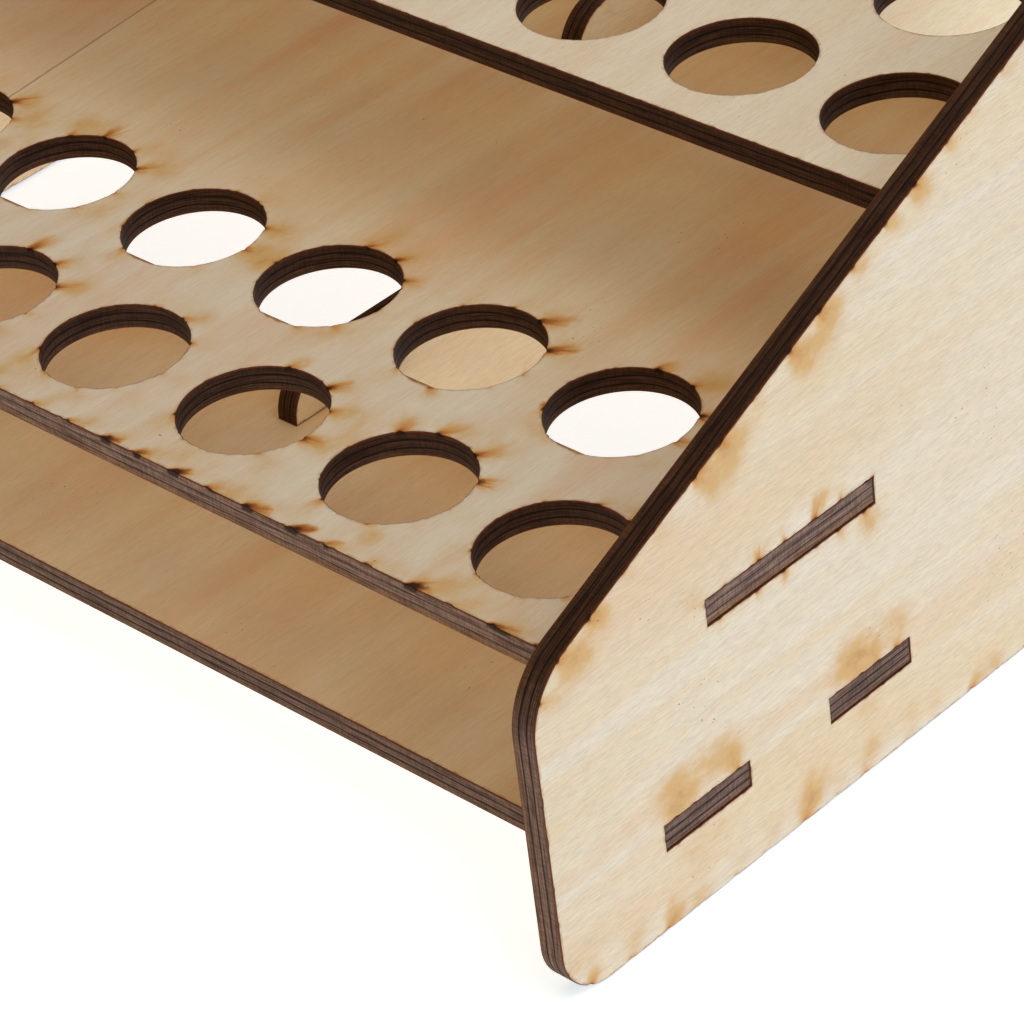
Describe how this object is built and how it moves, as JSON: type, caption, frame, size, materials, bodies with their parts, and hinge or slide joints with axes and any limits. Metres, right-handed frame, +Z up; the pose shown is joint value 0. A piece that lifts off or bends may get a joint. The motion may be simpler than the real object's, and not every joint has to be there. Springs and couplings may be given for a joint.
{
  "type": "paint rack organizer",
  "caption": "Stepped plywood rack for small round paint bottles: two side panels, a plain base shelf, tiers with staggered holes and two upright supports.",
  "frame": {"origin": "centre of the footprint, on the ground", "axes": "+X to the right along the shelves, +Y to the back, +Z up"},
  "size_m": [0.4016, 0.2872, 0.1796],
  "materials": {
    "side_wood": "bare sanded plywood with laser-browned edges",
    "shelf_wood": "bare sanded plywood with laser-browned edges",
    "support_wood": "bare sanded plywood with laser-browned edges"
  },
  "bodies": {
    "root": {"side_left": "side_wood", "side_right": "side_wood", "base_shelf": "shelf_wood", "lower_shelf": "shelf_wood", "middle_shelf": "shelf_wood", "top_shelf": "shelf_wood", "support_left": "support_wood", "support_right": "support_wood"}
  },
  "joints": []
}
